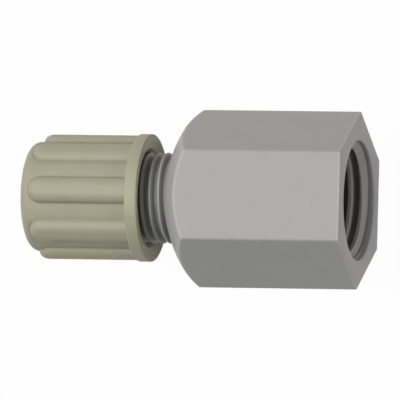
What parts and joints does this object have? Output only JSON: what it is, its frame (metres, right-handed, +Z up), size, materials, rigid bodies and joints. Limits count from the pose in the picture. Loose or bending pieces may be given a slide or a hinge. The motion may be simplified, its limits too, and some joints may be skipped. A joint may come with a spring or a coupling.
{
  "type": "screw-in hose fitting",
  "caption": "Straight plastic hose fitting: hexagon body with a female pipe thread, a threaded neck and a fluted union nut that clamps a hose on its nipple.",
  "frame": {"origin": "centre of the female thread's mouth face", "axes": "+X along the fitting's axis, out of the female thread; the fitting lies on one flat of its hexagon, with +Z up"},
  "size_m": [0.0371, 0.0196, 0.017],
  "materials": {
    "body_grey": "moulded polypropylene, fine satin skin",
    "nut_olive": "moulded polypropylene, satin, olive beige",
    "ring_natural": "moulded, natural off-white"
  },
  "bodies": {
    "body": {"body": "body_grey"},
    "clamping_ring": {"clamping_ring": "ring_natural"},
    "union_nut": {"union_nut": "nut_olive"}
  },
  "joints": [
    {"name": "ring_travel", "type": "slide", "parent": "body", "child": "clamping_ring", "axis": [1, 0, 0], "range_m": [-0.0035, 0.002]},
    {"name": "nut_turn", "type": "hinge", "parent": "clamping_ring", "child": "union_nut", "pos_m": [-0.0305, 0, 0], "axis": [1, 0, 0], "range_deg": [-1260.1, 720.1]}
  ],
  "couplings": [
    {"joint": "nut_turn", "follows": "ring_travel", "rad_per_m": 6283.2}
  ]
}
